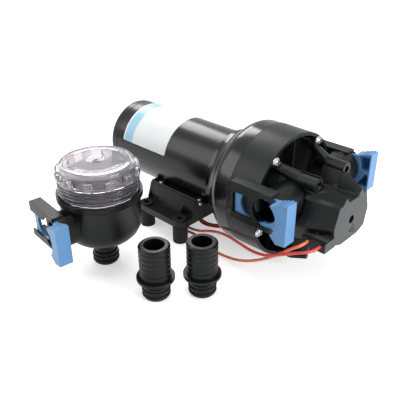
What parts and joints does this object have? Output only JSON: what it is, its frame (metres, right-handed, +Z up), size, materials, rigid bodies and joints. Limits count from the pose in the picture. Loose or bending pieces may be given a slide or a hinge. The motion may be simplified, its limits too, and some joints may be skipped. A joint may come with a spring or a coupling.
{
  "type": "diaphragm water pump",
  "caption": "Electric diaphragm water pump on a saddle base with rubber feet, pressure switch, snap-in side ports, loose clear-lidded strainer and hose tails.",
  "frame": {"origin": "middle of the base's four mounting holes, at floor level under the rubber feet", "axes": "+X along the motor axis towards the pressure switch, +Z up, -Y to the side with the strainer"},
  "size_m": [0.2922, 0.2698, 0.132],
  "materials": {
    "motor_paint": "satin black baked paint on drawn steel and cast ends",
    "zinc_steel": "bright zinc plate",
    "spring_steel": "drawn wire",
    "ground_steel": "ground",
    "ferrite": "sintered",
    "core_steel": "stacked laminations",
    "copper": "enamelled wire and bare bars",
    "carbon": "pressed carbon",
    "housing_plastic": "moulded glass-filled plastic, fine grain",
    "rear_plastic": "moulded plastic, polished tool face",
    "inner_plastic": "natural acetal",
    "hub_alloy": "die cast",
    "black_rubber": "moulded",
    "clip_plastic": "moulded light blue plastic",
    "fitting_plastic": "moulded nylon",
    "clear_plastic": "clear polycarbonate",
    "screen_steel": "woven stainless wire",
    "red_wire": "extruded insulation",
    "orange_wire": "extruded insulation"
  },
  "bodies": {
    "pump": {"motor_can": "motor_paint", "motor_brackets": "motor_paint", "motor_end_cap": "motor_paint", "motor_front_plate": "motor_paint", "motor_through_bolts": "zinc_steel", "motor_fixing_screws": "zinc_steel", "motor_bearings": "ground_steel", "field_magnets": "ferrite", "brush_card": "inner_plastic", "brushes": "carbon", "brush_springs": "spring_steel", "rear_housing": "rear_plastic", "diaphragm": "black_rubber", "valve_plate": "inner_plastic", "inlet_valves": "black_rubber", "outlet_valve": "black_rubber", "valve_plate_seal": "black_rubber", "front_housing": "housing_plastic", "cover_screws": "zinc_steel", "switch_cover_screws": "zinc_steel", "switch_cover": "housing_plastic", "switch_diaphragm": "black_rubber", "switch_spring": "spring_steel", "micro_switch": "inner_plastic", "base_saddle": "housing_plastic", "base_strap_screws": "zinc_steel", "rubber_feet": "black_rubber", "lead_grommet": "black_rubber", "red_lead": "red_wire", "orange_lead": "orange_wire"},
    "rotor": {"motor_shaft": "ground_steel", "armature_core": "core_steel", "armature_windings": "copper", "commutator": "copper", "eccentric_hub": "hub_alloy"},
    "wobble": {"wobble_plate": "inner_plastic", "cam_bearing": "ground_steel", "piston_caps": "inner_plastic", "piston_screws": "zinc_steel"},
    "adjuster": {"adjusting_screw": "zinc_steel"},
    "seat": {"spring_seat": "inner_plastic"},
    "plunger": {"switch_plunger": "inner_plastic"},
    "near_clip": {"near_port_clip": "clip_plastic"},
    "far_clip": {"far_port_clip": "clip_plastic"},
    "tail_1": {"hose_tail_1": "fitting_plastic", "hose_tail_1_rings": "black_rubber"},
    "tail_2": {"hose_tail_2": "fitting_plastic", "hose_tail_2_rings": "black_rubber"},
    "strainer": {"strainer_body": "fitting_plastic", "strainer_spigot_rings": "black_rubber"},
    "strainer_clip": {"strainer_clip": "clip_plastic"},
    "lid": {"strainer_lid": "clear_plastic"},
    "screen": {"strainer_screen": "screen_steel"}
  },
  "joints": [
    {"name": "rotor_spin", "type": "hinge", "parent": "pump", "child": "rotor", "pos_m": [0, 0, 0.07], "axis": [1, 0, 0], "continuous": true},
    {"name": "wobble_spin", "type": "hinge", "parent": "rotor", "child": "wobble", "pos_m": [0.08, 0, 0.07], "axis": [0.9981, 0, -0.061], "continuous": true},
    {"name": "adjuster_turn", "type": "hinge", "parent": "pump", "child": "adjuster", "pos_m": [0.17, 0, 0.0683], "axis": [1, 0, 0], "range_deg": [-360, 360]},
    {"name": "seat_slide", "type": "slide", "parent": "pump", "child": "seat", "axis": [1, 0, 0], "range_m": [-0.0007, 0.0007], "deforming": ["switch_spring"]},
    {"name": "plunger_push", "type": "slide", "parent": "pump", "child": "plunger", "axis": [1, 0, 0], "range_m": [0, 0.0006], "stiffness_N_per_m": 1500},
    {"name": "near_clip_slide", "type": "slide", "parent": "pump", "child": "near_clip", "axis": [1, 0, 0], "range_m": [0, 0.01]},
    {"name": "far_clip_slide", "type": "slide", "parent": "pump", "child": "far_clip", "axis": [1, 0, 0], "range_m": [0, 0.01]},
    {"name": "strainer_lift", "type": "slide", "parent": "pump", "child": "strainer", "axis": [0, 0, 1], "range_m": [0, 0.06]},
    {"name": "strainer_clip_slide", "type": "slide", "parent": "strainer", "child": "strainer_clip", "axis": [0.9949, -0.1011, 0], "range_m": [0, 0.01]},
    {"name": "lid_lift", "type": "slide", "parent": "strainer", "child": "lid", "axis": [0, 0, 1], "range_m": [0, 0.06]},
    {"name": "screen_lift", "type": "slide", "parent": "strainer", "child": "screen", "axis": [0, 0, 1], "range_m": [0, 0.03]},
    {"name": "tail_1_lift", "type": "slide", "parent": "pump", "child": "tail_1", "axis": [0, 0, 1], "range_m": [0, 0.06]},
    {"name": "tail_2_lift", "type": "slide", "parent": "pump", "child": "tail_2", "axis": [0, 0, 1], "range_m": [0, 0.06]}
  ],
  "couplings": [
    {"joint": "wobble_spin", "follows": "rotor_spin", "ratio": -1},
    {"joint": "adjuster_turn", "follows": "seat_slide", "rad_per_m": 8976},
    {"joint": "screen_lift", "follows": "lid_lift", "ratio": 0.5}
  ]
}
